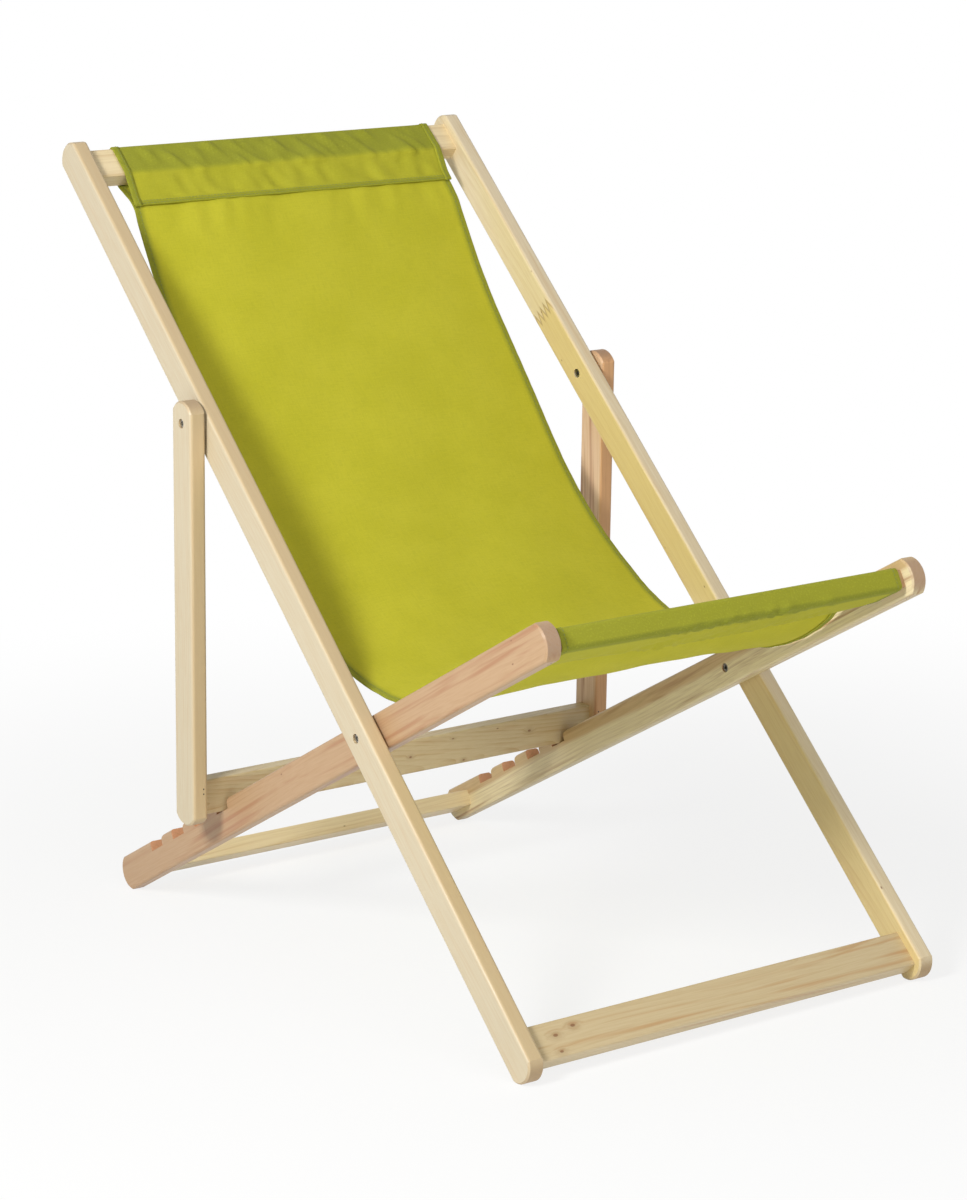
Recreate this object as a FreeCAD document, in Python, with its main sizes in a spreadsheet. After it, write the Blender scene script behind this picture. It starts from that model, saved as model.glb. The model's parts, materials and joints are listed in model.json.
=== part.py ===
"""Sling deck chair: two crossed softwood frames, a prop frame in a notched rack, and a canvas sling.

Millimetres. X runs across the chair, Y from front to back, Z up. The origin is on the floor
in the middle of the chair's footprint box. Each rail, leg and board is drawn in its own plane:
"along" follows the wood and "across" follows its 42 mm depth.
"""
import FreeCAD
import Part
import Sketcher
import math
import os
from FreeCAD import Placement, Rotation, Vector

# Driving sizes in millimetres. Each is set once here and read everywhere else.
SIZES = [
    ("frame_width", 550, "across the outer faces of the two long rails"),
    ("stock_thickness", 20, "thickness of every rail and board"),
    ("stock_depth", 42, "depth of every rail and width of every board"),
    ("end_radius", 24, "round of the rail ends"),
    ("rail_edge_radius", 4, "rounding of the rails' long edges"),
    ("end_chamfer", 2, "chamfer round the rail ends"),
    ("board_edge_radius", 2, "rounding of the boards' long edges"),
    ("rail_gap", 3, "gap between two members that turn past each other"),
    ("long_foot_length", 427, "long rail, main pivot to its foot"),
    ("long_top_length", 854, "long rail, main pivot to its top"),
    ("seat_front_length", 360, "seat rail, main pivot to its front end"),
    ("seat_back_length", 655, "seat rail, main pivot to its back foot"),
    ("prop_pivot_distance", 438, "main pivot to prop pivot along the long rail"),
    ("prop_bar_distance", 466, "prop pivot to the crossbar's lower edge"),
    ("prop_top_length", 25.5, "prop leg, pivot to its top end"),
    ("prop_toe", 11.5, "prop leg, crossbar to its lower end"),
    ("top_rail_inset", 15, "long rail's top end to the top cross rail"),
    ("foot_stretcher_inset", 12, "long rail's foot to the foot stretcher"),
    ("front_rail_inset", 15, "seat rail's front end to the front cross rail"),
    ("rear_stretcher_inset", 15, "seat rail's back foot to the rear stretcher"),
    ("notch_wall_distance", 384, "main pivot to the back wall of the first notch"),
    ("notch_pitch", 60, "from notch to notch"),
    ("notch_width", 30, "floor of a notch"),
    ("notch_depth", 12, "depth of a notch"),
    ("notch_round", 9, "rounding of a notch's front lip"),
    ("notch_count", 4, "notches in each seat rail"),
    ("tenon_thickness", 10, "tenon, across the board's thickness"),
    ("tenon_width", 36, "tenon, across the board's width"),
    ("tenon_length", 12, "tenon, into the rail"),
    ("glue_gap", 0.1, "room round tenons and pins"),
    ("seat_clearance", 0.3, "crossbar to notch, and cloth to wood"),
    ("pin_width", 1.8, "steel brads through the tenons, along the rail"),
    ("pin_thickness", 1.4, "the brads, across the chair"),
    ("pin_length", 28, "length of a pin"),
    ("pin_spacing", 6, "between the two pins of a joint"),
    ("pin_offset", 12, "middle of the board to the middle of its two pins"),
    ("head_diameter", 10.4, "heads of bolts and sleeve nuts"),
    ("head_clearance", 0.3, "room round a head in its counterbore"),
    ("bolt_head_height", 5, "head of a bolt"),
    ("bolt_recess", 2, "bolt head below the wood"),
    ("nut_head_height", 3, "head of a sleeve nut"),
    ("nut_recess", 1.5, "nut head below the wood"),
    ("shank_diameter", 6, "shank of a bolt"),
    ("thread_clearance", 0.05, "room round a shank in its nut"),
    ("barrel_diameter", 8, "barrel of a sleeve nut, which the rails turn on"),
    ("running_clearance", 0.1, "room round a barrel in its bore"),
    ("barrel_gap", 6.5, "bolt head to the end of the barrel"),
    ("shank_gap", 3.5, "end of the shank to the nut's head"),
    ("bore_spare", 1.5, "nut's thread beyond the end of the shank"),
    ("socket_width", 5, "hexagon sockets, across flats"),
    ("socket_depth", 2.5, "depth of the hexagon sockets"),
    ("washer_diameter", 22, "spacing washers between the members"),
    ("washer_end_play", 0.2, "washer to the member that turns past it"),
    ("sling_side_room", 7, "canvas to the seat rail beside it"),
    ("cloth_thickness", 1.2, "canvas with its hems"),
    ("top_seam_distance", 37, "top cross rail to the seam of its sleeve"),
    ("front_seam_distance", 63, "front cross rail to the seam of its sleeve"),
    ("seam_width", 6, "stitched strip of a seam"),
    ("sling_sag", 205, "deepest sag of the hems below a line from seam to seam"),
    ("sling_crown", 14, "how much higher the middle of the canvas hangs than its hems"),
]

# Ruled strips that make up the hanging canvas, from hem to hem.
SLING_STRIPS = 4
# Side view of the hanging canvas, as a line with rounded corners. For each corner: share of the way
# from top seam to front seam, share of the sag, and how much of the run before it and of the run
# after it the corner's arc may take.
SLING_CORNERS = [(0.147, 0.379, 0.5, 0.25), (0.489, 0.964, 0.36, 0.33), (0.898, 1.086, 0.65, 0.95)]

doc = FreeCAD.newDocument("deck_chair")
sheet = doc.addObject("Spreadsheet::Sheet", "Sizes")
for row, (alias, value, meaning) in enumerate(SIZES, start=1):
    sheet.set("A%d" % row, alias)
    sheet.set("B%d" % row, str(value))
    sheet.setAlias("B%d" % row, alias)
    sheet.set("C%d" % row, meaning)
doc.recompute()


class Size:
    """A number together with the expression that works it out from the sheet."""

    def __init__(self, value, text):
        self.value = float(value)
        self.text = text

    def __add__(self, other):
        other = as_size(other)
        return Size(self.value + other.value, "(%s + %s)" % (self.text, other.text))

    def __sub__(self, other):
        other = as_size(other)
        return Size(self.value - other.value, "(%s - %s)" % (self.text, other.text))

    def __mul__(self, factor):
        return Size(self.value * factor, "(%s * %r)" % (self.text, factor))

    def __truediv__(self, factor):
        return Size(self.value / factor, "(%s / %r)" % (self.text, factor))

    def __neg__(self):
        return Size(-self.value, "(0 - %s)" % self.text)


def as_size(number):
    return number if isinstance(number, Size) else Size(number, repr(number))


def size(alias):
    return Size(sheet.get(alias), "Sizes." + alias)


thickness = size("stock_thickness")
depth = size("stock_depth")
half_depth = depth / 2
half_thickness = thickness / 2
end_radius = size("end_radius")
gap = size("rail_gap")

# Outer faces of the three pairs of rails, measured from the middle of the chair.
long_outer = size("frame_width") / 2
seat_outer = long_outer - thickness - gap
prop_outer = long_outer + thickness + gap
sling_half_width = seat_outer - thickness - size("sling_side_room")

# Where the boards cross the rails: the middle of each board, along its rail from the pivot.
top_rail_at = size("long_top_length") - size("top_rail_inset") - half_depth
foot_stretcher_at = -(size("long_foot_length") - size("foot_stretcher_inset") - half_depth)
front_rail_at = size("seat_front_length") - size("front_rail_inset") - half_depth
rear_stretcher_at = -(size("seat_back_length") - size("rear_stretcher_inset") - half_depth)
crossbar_at = -(size("prop_bar_distance") - half_depth)


class Frame:
    """A side-view frame: a point, the direction along the wood, and the one a quarter turn on."""

    def __init__(self, origin, angle, turn):
        self.origin = origin
        self.along = Vector(0, math.cos(angle), math.sin(angle))
        self.across = Vector(0, -turn * math.sin(angle), turn * math.cos(angle))
        self.sideways = self.along.cross(self.across)

    def at(self, sideways, along, across):
        return self.origin + Vector(sideways, 0, 0) + self.along * along + self.across * across


def seat_the_crossbar():
    """Rest pose: the crossbar's rounded lower edges lie in the first notch, and all feet stand level."""
    arc = size("board_edge_radius").value
    clear = size("seat_clearance").value
    arm = size("prop_bar_distance").value - arc
    reach = size("prop_pivot_distance").value
    wall = -size("notch_wall_distance").value
    floor = half_depth.value - size("notch_depth").value
    half_bar = half_thickness.value - arc
    tilt = math.radians(30)
    for _ in range(20):
        bar_along = wall + clear + arc + half_bar * math.cos(tilt)
        bar_across = floor + clear + arc + half_bar * math.sin(tilt)
        bar = Vector(bar_along, bar_across, 0)
        foot = (reach ** 2 - arm ** 2 + bar.Length ** 2) / (2 * bar.Length)
        rise = math.sqrt(reach ** 2 - foot ** 2)
        unit = Vector(bar).normalize()
        prop_pivot = unit * foot + Vector(unit.y, -unit.x, 0) * rise
        tilt = math.atan2(prop_pivot.x - bar.x, prop_pivot.y - bar.y)
    spread = math.atan2(prop_pivot.y, -prop_pivot.x)
    foot_arm = (size("long_foot_length") - end_radius).value
    back_arm = (size("seat_back_length") - end_radius).value
    long_angle = math.atan2(back_arm * math.sin(spread), foot_arm + back_arm * math.cos(spread))
    return long_angle, spread - long_angle, tilt


long_angle, seat_angle, crossbar_tilt = seat_the_crossbar()
prop_angle = math.pi / 2 + crossbar_tilt - seat_angle
radius = end_radius.value
front_reach = (size("seat_front_length").value - radius) * math.cos(seat_angle) + radius
back_reach = radius + max(
    (size("seat_back_length").value - radius) * math.cos(seat_angle),
    (size("long_top_length").value - radius) * math.cos(long_angle),
)
pivot_height = (size("long_foot_length").value - radius) * math.sin(long_angle) + radius
main_pivot = Vector(0, (front_reach - back_reach) / 2, pivot_height)
long_frame = Frame(main_pivot, long_angle, 1)
seat_frame = Frame(main_pivot, math.pi - seat_angle, -1)
prop_pivot = long_frame.at(0, size("prop_pivot_distance").value, 0)
prop_frame = Frame(prop_pivot, prop_angle, 1)
nodes = []


def new_body(name):
    body = doc.addObject("PartDesign::Body", name)
    body.Label = name
    nodes.append(body)
    return body


def new_sketch(body, role, offset=None):
    """A sketch on one of the body's own origin planes, moved along the plane's normal by offset."""
    sketch = body.newObject("Sketcher::SketchObject", body.Label + "_sketch")
    plane = next(feature for feature in body.Origin.OriginFeatures if feature.Role == role)
    sketch.AttachmentSupport = [(plane, "")]
    sketch.MapMode = "FlatFace"
    if offset is not None:
        sketch.setExpression("AttachmentOffset.Base.z", offset.text)
    return sketch


def constrain(sketch, kind, *arguments):
    """Add a constraint whose last argument is a Size, and bind it to the sheet."""
    amount = arguments[-1]
    index = sketch.addConstraint(Sketcher.Constraint(kind, *arguments[:-1], amount.value))
    sketch.setExpression("Constraints[%d]" % index, amount.text)


def place_vertex(sketch, edge, vertex, across_page, up_page):
    constrain(sketch, "DistanceX", -1, 1, edge, vertex, as_size(across_page))
    constrain(sketch, "DistanceY", -1, 1, edge, vertex, as_size(up_page))


def draw_polygon(sketch, corners):
    points = [Vector(as_size(x).value, as_size(y).value, 0) for x, y in corners]
    first = sketch.GeometryCount
    for index, point in enumerate(points):
        sketch.addGeometry(Part.LineSegment(point, points[(index + 1) % len(points)]))
    for index, (x, y) in enumerate(corners):
        following = (index + 1) % len(points)
        sketch.addConstraint(Sketcher.Constraint("Coincident", first + index, 2, first + following, 1))
        place_vertex(sketch, first + index, 1, x, y)


def draw_rectangle(sketch, x, y, width, height):
    """A rectangle about the point x, y."""
    left, right = x - width / 2, x + width / 2
    low, high = y - height / 2, y + height / 2
    draw_polygon(sketch, [(left, low), (right, low), (right, high), (left, high)])


def draw_circle(sketch, x, y, diameter):
    centre = Vector(as_size(x).value, as_size(y).value, 0)
    index = sketch.addGeometry(Part.Circle(centre, Vector(0, 0, 1), diameter.value / 2))
    constrain(sketch, "Diameter", index, diameter)
    place_vertex(sketch, index, 3, x, y)


def draw_hexagon(sketch, width):
    reach = width / math.sqrt(3)
    turns = [math.radians(60 * index) for index in range(6)]
    draw_polygon(sketch, [(reach * math.cos(turn), reach * math.sin(turn)) for turn in turns])


def pad(body, sketch, length, symmetric=False):
    feature = body.newObject("PartDesign::Pad", body.Label + "_pad")
    feature.Profile = sketch
    feature.SideType = "Symmetric" if symmetric else "One side"
    feature.setExpression("Length", length.text)
    sketch.Visibility = False
    doc.recompute()
    return feature


def pocket(body, sketch, cut_depth=None, along_normal=False):
    """Cut the sketch into the body: cut_depth deep, or right through. It has to remove material."""
    before = body.Shape.Volume
    feature = body.newObject("PartDesign::Pocket", body.Label + "_pocket")
    feature.Profile = sketch
    feature.Reversed = along_normal
    if cut_depth is None:
        feature.Type = "ThroughAll"
    else:
        feature.setExpression("Length", cut_depth.text)
    sketch.Visibility = False
    doc.recompute()
    if not body.Shape.Volume < before - 1e-6:
        raise RuntimeError("a pocket in %s cuts nothing" % body.Label)
    return feature


def round_edges(body, feature, edge_radius, chosen):
    """Round the edges of the feature for which chosen(edge) is true."""
    names = ["Edge%d" % (i + 1) for i, edge in enumerate(feature.Shape.Edges) if chosen(edge)]
    fillet = body.newObject("PartDesign::Fillet", body.Label + "_fillet")
    fillet.Base = (feature, names)
    fillet.setExpression("Radius", edge_radius.text)
    doc.recompute()


def chamfer_end(body, centre, outward):
    """Turn a chamfer on both edges of a rail's round end, about the middle of its arc."""
    width = size("end_chamfer")
    sketch = new_sketch(body, "XZ_Plane")
    sketch.setExpression("AttachmentOffset.Base.x", centre.text)
    rim = end_radius * outward
    inner = rim - width * outward
    outer = rim + width * outward
    draw_polygon(sketch, [(inner, thickness), (rim, thickness - width), (outer, thickness + width)])
    draw_polygon(sketch, [(inner, 0), (rim, width), (outer, -width)])
    groove = body.newObject("PartDesign::Groove", body.Label + "_groove")
    groove.Profile = sketch
    groove.ReferenceAxis = (sketch, ["V_Axis"])
    groove.Midplane = True
    groove.Angle = 180
    sketch.Visibility = False
    before = body.Shape.Volume
    doc.recompute()
    if not body.Shape.Volume < before:
        raise RuntimeError("an end chamfer in %s cuts nothing" % body.Label)


def draw_rail_outline(sketch, back, front):
    """Two straight edges and two round ends: back and front are the ends' distances from the origin."""
    half_angle = math.asin(half_depth.value / radius)
    back_centre = -(back - end_radius)
    front_centre = front - end_radius
    normal = Vector(0, 0, 1)
    corner = math.sqrt(radius ** 2 - half_depth.value ** 2)
    top_front = Vector(front_centre.value + corner, half_depth.value, 0)
    top_back = Vector(back_centre.value - corner, half_depth.value, 0)
    down = Vector(0, -depth.value, 0)
    back_circle = Part.Circle(Vector(back_centre.value, 0, 0), normal, radius)
    front_circle = Part.Circle(Vector(front_centre.value, 0, 0), normal, radius)
    top = sketch.addGeometry(Part.LineSegment(top_front, top_back))
    back_end = sketch.addGeometry(Part.ArcOfCircle(back_circle, math.pi - half_angle, math.pi + half_angle))
    bottom = sketch.addGeometry(Part.LineSegment(top_back + down, top_front + down))
    front_end = sketch.addGeometry(Part.ArcOfCircle(front_circle, -half_angle, half_angle))
    loop = [top, back_end, bottom, front_end]
    for index, edge in enumerate(loop):
        sketch.addConstraint(Sketcher.Constraint("Coincident", edge, 2, loop[(index + 1) % 4], 1))
    for edge, height in ((top, half_depth), (bottom, -half_depth)):
        sketch.addConstraint(Sketcher.Constraint("Horizontal", edge))
        constrain(sketch, "DistanceY", -1, 1, edge, 1, height)
    for end, centre in ((back_end, back_centre), (front_end, front_centre)):
        sketch.addConstraint(Sketcher.Constraint("PointOnObject", end, 3, -1))
        constrain(sketch, "Radius", end, end_radius)
        constrain(sketch, "DistanceX", -1, 1, end, 3, centre)


class Rail:
    """A rail or leg. Its body's x runs along the wood, y across its depth and z through its thickness."""

    def __init__(self, name, frame, side, outer, back, front):
        self.body = new_body(name)
        self.outer_is_low = side * frame.sideways.x < 0
        low_face = outer if self.outer_is_low else outer - thickness
        self.body.Placement = Placement(
            frame.at(side * low_face.value, 0, 0),
            Rotation(frame.along, frame.across, frame.sideways, "XYZ"),
        )
        outline = new_sketch(self.body, "XY_Plane")
        draw_rail_outline(outline, back, front)
        blank = pad(self.body, outline, thickness)
        round_edges(
            self.body, blank, size("rail_edge_radius"),
            lambda edge: edge.BoundBox.ZLength < 1e-6 and edge.BoundBox.YLength < 1e-6)
        chamfer_end(self.body, end_radius - back, -1)
        chamfer_end(self.body, front - end_radius, 1)

    def face_sketch(self, inner):
        """A sketch on the inner or outer face, and whether a cut into the wood goes up the z axis."""
        at_low = self.outer_is_low != inner
        offset = None if at_low else thickness
        return new_sketch(self.body, "XY_Plane", offset), at_low

    def from_inner_face(self, distance):
        return thickness - distance if self.outer_is_low else distance

    def mortise(self, along):
        """A blind mortise for a board's tenon, in the inner face."""
        sketch, upward = self.face_sketch(inner=True)
        room = size("glue_gap") * 2
        draw_rectangle(sketch, along, as_size(0), size("tenon_width") + room, size("tenon_thickness") + room)
        pocket(self.body, sketch, size("tenon_length") + size("glue_gap"), upward)

    def pin_holes(self, along, from_top):
        """Two holes across the depth, through the middle of the tenon's length."""
        offset = -half_depth if from_top else half_depth
        sketch = new_sketch(self.body, "XZ_Plane", offset)
        height = self.from_inner_face(size("tenon_length") / 2)
        for shift in pin_shifts():
            draw_pin_hole(sketch, along + shift, height, "pin_width", "pin_thickness")
        pocket(self.body, sketch, size("pin_length"), along_normal=from_top)

    def pivot_bore(self, along, inner, recess):
        """A bore for the sleeve nut's barrel, and a counterbore for a head in one face."""
        sketch, upward = self.face_sketch(inner)
        draw_circle(sketch, along, 0, size("barrel_diameter") + size("running_clearance") * 2)
        pocket(self.body, sketch, None, upward)
        if recess is not None:
            sketch, upward = self.face_sketch(inner)
            draw_circle(sketch, along, 0, size("head_diameter") + size("head_clearance") * 2)
            pocket(self.body, sketch, recess, upward)


def draw_pin_hole(sketch, x, y, size_across_page, size_up_page):
    room = size("glue_gap") * 2
    draw_rectangle(sketch, x, y, size(size_across_page) + room, size(size_up_page) + room)


def pin_shifts():
    """Where a joint's two pins lie along the rail, from the middle of the board."""
    half_spacing = size("pin_spacing") / 2
    return (size("pin_offset") - half_spacing, size("pin_offset") + half_spacing)


def cut_notches(rail):
    """The rack: sharp back walls for the crossbar to push on, and front lips rounded to let it in."""
    body = rail.body
    wall = -size("notch_wall_distance")
    floor = half_depth - size("notch_depth")
    lip = wall + size("notch_width")
    round_start = half_depth - size("notch_round")
    round_end = lip + size("notch_round")
    above = half_depth + size("notch_depth")
    sketch = new_sketch(body, "XY_Plane")
    corners = [
        (round_end, half_depth), (round_end, above), (wall, above),
        (wall, floor), (lip, floor), (lip, round_start),
    ]
    points = [Vector(x.value, y.value, 0) for x, y in corners]
    for index in range(len(points) - 1):
        sketch.addGeometry(Part.LineSegment(points[index], points[index + 1]))
        place_vertex(sketch, index, 1, *corners[index])
    for index in range(len(points) - 2):
        sketch.addConstraint(Sketcher.Constraint("Coincident", index, 2, index + 1, 1))
    place_vertex(sketch, len(points) - 2, 2, *corners[-1])
    centre = Vector(round_end.value, round_start.value, 0)
    circle = Part.Circle(centre, Vector(0, 0, 1), size("notch_round").value)
    arc = sketch.addGeometry(Part.ArcOfCircle(circle, math.pi / 2, math.pi))
    sketch.addConstraint(Sketcher.Constraint("Coincident", arc, 1, 0, 1))
    sketch.addConstraint(Sketcher.Constraint("Coincident", arc, 2, len(points) - 2, 2))
    constrain(sketch, "Radius", arc, size("notch_round"))
    first = pocket(body, sketch, None, along_normal=True)
    before = body.Shape.Volume
    pattern = body.newObject("PartDesign::LinearPattern", body.Label + "_notches")
    pattern.Originals = [first]
    axis = next(feature for feature in body.Origin.OriginFeatures if feature.Role == "X_Axis")
    pattern.Direction = (axis, [""])
    pattern.Reversed = True
    pattern.setExpression("Occurrences", "Sizes.notch_count")
    pattern.setExpression("Length", "Sizes.notch_pitch * (Sizes.notch_count - 1)")
    body.Tip = pattern
    doc.recompute()
    if size("notch_count").value > 1 and not body.Shape.Volume < before:
        raise RuntimeError("the notch pattern in %s cuts nothing" % body.Label)


def make_board(name, frame, along, length):
    """A board between two rails, with a tenon at each end. Its body's x runs across the chair."""
    body = new_body(name)
    body.Placement = Placement(
        frame.at(0, along.value, 0),
        Rotation(frame.sideways, frame.along, frame.across, "XYZ"),
    )
    section = new_sketch(body, "YZ_Plane")
    draw_rectangle(section, as_size(0), as_size(0), depth, thickness)
    blank = pad(body, section, length, symmetric=True)
    long_edge = length.value - 1
    round_edges(body, blank, size("board_edge_radius"), lambda edge: edge.BoundBox.XLength > long_edge)
    tenon = new_sketch(body, "YZ_Plane")
    draw_rectangle(tenon, as_size(0), as_size(0), size("tenon_width"), size("tenon_thickness"))
    pad(body, tenon, length + size("tenon_length") * 2, symmetric=True)
    holes = new_sketch(body, "XY_Plane", -half_thickness)
    for side in (-1, 1):
        for shift in pin_shifts():
            sideways = (length + size("tenon_length")) / 2 * side
            draw_pin_hole(holes, sideways, shift, "pin_thickness", "pin_width")
    pocket(body, holes, None, along_normal=True)


def make_pins(name, frame, outer, boards, from_top=False):
    """All the brads of one frame, as a group of separate solids flush with the wood."""
    group = doc.addObject("Part::Compound", name)
    group.Label = name
    pins = []
    start = half_depth.value if from_top else -half_depth.value
    direction = frame.across * -1 if from_top else frame.across
    breadth = direction.cross(frame.along)
    sideways = (outer - thickness + size("tenon_length") / 2).value
    for along in boards:
        for shift in pin_shifts():
            for side in (-1, 1):
                pin = doc.addObject("Part::Box", "pin")
                pin.setExpression("Length", "Sizes.pin_width")
                pin.setExpression("Width", "Sizes.pin_thickness")
                pin.setExpression("Height", "Sizes.pin_length")
                low = (along + shift - size("pin_width") / 2).value
                base = frame.at(side * sideways, low, start) - breadth * (size("pin_thickness").value / 2)
                pin.Placement = Placement(base, Rotation(frame.along, breadth, direction, "ZXY"))
                pins.append(pin)
    group.Links = pins
    nodes.append(group)


def turned_body(name, pivot, face, direction):
    """A body whose z axis runs from the given face of the wood, along direction."""
    body = new_body(name)
    base = pivot + Vector(face, 0, 0)
    body.Placement = Placement(base, Rotation(Vector(0, 0, 1), Vector(direction, 0, 0)))
    return body


def add_disc(body, start, diameter, length):
    sketch = new_sketch(body, "XY_Plane", start)
    draw_circle(sketch, 0, 0, diameter)
    return pad(body, sketch, length)


def add_socket(body, start):
    sketch = new_sketch(body, "XY_Plane", start)
    draw_hexagon(sketch, size("socket_width"))
    pocket(body, sketch, size("socket_depth"), along_normal=True)


def make_pivot(name, pivot, outer):
    """Bolt, sleeve nut and spacing washer on each side. The bolt goes in from the outer member."""
    stack = thickness * 2 + gap
    bolt_recess, nut_recess = size("bolt_recess"), size("nut_recess")
    bolt_seat = bolt_recess + size("bolt_head_height")
    nut_seat = nut_recess + size("nut_head_height")
    for side, hand in ((-1, "left"), (1, "right")):
        face = side * outer.value
        bolt = turned_body("%s_%s_bolt" % (hand, name), pivot, face, -side)
        add_disc(bolt, bolt_recess, size("head_diameter"), size("bolt_head_height"))
        add_disc(bolt, bolt_seat, size("shank_diameter"), stack - bolt_seat - nut_seat - size("shank_gap"))
        add_socket(bolt, bolt_recess)

        nut = turned_body("%s_%s_nut" % (hand, name), pivot, side * (outer - stack).value, side)
        add_disc(nut, nut_recess, size("head_diameter"), size("nut_head_height"))
        add_disc(nut, nut_seat, size("barrel_diameter"), stack - bolt_seat - nut_seat - size("barrel_gap"))
        thread = new_sketch(nut, "XY_Plane", nut_seat + size("shank_gap") - size("bore_spare"))
        draw_circle(thread, 0, 0, size("shank_diameter") + size("thread_clearance") * 2)
        pocket(nut, thread, None, along_normal=True)
        add_socket(nut, nut_recess)

        washer = turned_body("%s_%s_washer" % (hand, name), pivot, face, -side)
        ring = new_sketch(washer, "XY_Plane", thickness)
        draw_circle(ring, 0, 0, size("washer_diameter"))
        draw_circle(ring, 0, 0, size("barrel_diameter") + size("running_clearance") * 2)
        pad(washer, ring, gap - size("washer_end_play"))


def rounded_loop(corners):
    """A closed wire through (point, radius) corners, with a tangent arc where the radius isn't zero."""
    starts, ends, edges = [], [], []
    for index, (point, radius_here) in enumerate(corners):
        back = (corners[index - 1][0] - point).normalize()
        ahead = (corners[(index + 1) % len(corners)][0] - point).normalize()
        if radius_here == 0:
            starts.append(point)
            ends.append(point)
            continue
        half_turn = back.getAngle(ahead) / 2
        setback = radius_here / math.tan(half_turn)
        inward = (back + ahead).normalize()
        centre = point + inward * (radius_here / math.sin(half_turn))
        starts.append(point + back * setback)
        ends.append(point + ahead * setback)
        edges.append(Part.Arc(starts[-1], centre - inward * radius_here, ends[-1]).toShape())
    for index in range(len(corners)):
        edges.append(Part.LineSegment(ends[index], starts[(index + 1) % len(corners)]).toShape())
    return Part.Wire(Part.__sortEdges__(edges))


def sleeve(frame, board_at, seam_at):
    """Canvas wrapped round a board: both layers meet in a stitched strip at the seam."""
    half_width = sling_half_width.value
    cloth = size("cloth_thickness").value
    clear = size("seat_clearance").value
    strip = size("seam_width").value
    near, far = (board_at - half_depth).value, (board_at + half_depth).value
    tip = seam_at.value
    stitched = [(tip, -cloth), (tip - strip, -cloth), (tip - strip, cloth), (tip, cloth)]
    faces = []
    for offset, end in ((clear + cloth, stitched), (clear, [(tip, 0)])):
        half_height = half_thickness.value + offset
        bend = size("board_edge_radius").value + offset
        outline = [(point, 0) for point in end]
        outline += [((near, half_height), 0), ((far + offset, half_height), bend)]
        outline += [((far + offset, -half_height), bend), ((near, -half_height), 0)]
        corners = [(frame.at(-half_width, along, across), arc) for (along, across), arc in outline]
        faces.append(Part.Face(rounded_loop(corners)))
    return faces[0].cut(faces[1]).extrude(Vector(2 * half_width, 0, 0))


def panel_section(sideways, start, end, sag):
    """The canvas between its seams, cut across the chair: straight runs and tangent arcs."""
    chord = end - start
    down = Vector(0, -chord.z, chord.y).normalize()
    hanging = [start + chord * corner[0] + down * (sag * corner[1]) for corner in SLING_CORNERS]
    middle = [start] + hanging + [end]
    runs = [ahead - point for point, ahead in zip(middle, middle[1:])]
    normals = [Vector(0, -run.z, run.y).normalize() for run in runs]
    half_cloth = size("cloth_thickness").value / 2
    shift = Vector(sideways, 0, 0)
    layers = []
    for lift in (half_cloth, -half_cloth):
        layer = [(start + shift + normals[0] * lift, 0)]
        for point, corner, before, after, first, second in zip(
                middle[1:], SLING_CORNERS, runs, runs[1:], normals, normals[1:]):
            half_turn = before.getAngle(after) / 2
            setback = min(before.Length * corner[2], after.Length * corner[3])
            offset = (first + second).normalize() * (lift / math.cos(half_turn))
            layer.append((point + shift + offset, setback / math.tan(half_turn) + lift))
        layer.append((end + shift + normals[-1] * lift, 0))
        layers.append(layer)
    lower, upper = layers
    return rounded_loop(lower + upper[::-1])


def make_sling():
    """One piece of canvas: a sleeve at each end, and a panel that hangs lower at its hems."""
    top_seam_at = top_rail_at - half_depth - size("top_seam_distance")
    front_seam_at = front_rail_at - half_depth - size("front_seam_distance")
    half_strip = size("seam_width").value / 2
    start = long_frame.at(0, top_seam_at.value - half_strip, 0)
    end = seat_frame.at(0, front_seam_at.value - half_strip, 0)
    sag = size("sling_sag").value
    crown = size("sling_crown").value
    sections = []
    for index in range(SLING_STRIPS + 1):
        share = 2 * index / SLING_STRIPS - 1
        drop = sag - crown * (1 - share ** 2)
        sections.append(panel_section(sling_half_width.value * share, start, end, drop))
    panel = Part.makeLoft(sections, True, True)
    top_sleeve = sleeve(long_frame, top_rail_at, top_seam_at)
    front_sleeve = sleeve(seat_frame, front_rail_at, front_seam_at)
    sling = doc.addObject("Part::Feature", "sling")
    sling.Label = "sling"
    sling.Shape = panel.fuse([top_sleeve, front_sleeve])
    nodes.append(sling)


def make_long_frame():
    for side, hand in ((-1, "left"), (1, "right")):
        rail = Rail(hand + "_long_rail", long_frame, side, long_outer,
                    size("long_foot_length"), size("long_top_length"))
        rail.mortise(top_rail_at)
        rail.mortise(foot_stretcher_at)
        rail.pin_holes(top_rail_at, from_top=False)
        rail.pin_holes(foot_stretcher_at, from_top=False)
        rail.pivot_bore(as_size(0), False, size("bolt_recess") + size("bolt_head_height"))
        rail.pivot_bore(size("prop_pivot_distance"), True, size("nut_recess") + size("nut_head_height"))
    between = (long_outer - thickness) * 2
    make_board("top_cross_rail", long_frame, top_rail_at, between)
    make_board("foot_stretcher", long_frame, foot_stretcher_at, between)
    make_pins("long_frame_pins", long_frame, long_outer, [top_rail_at, foot_stretcher_at])


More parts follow.
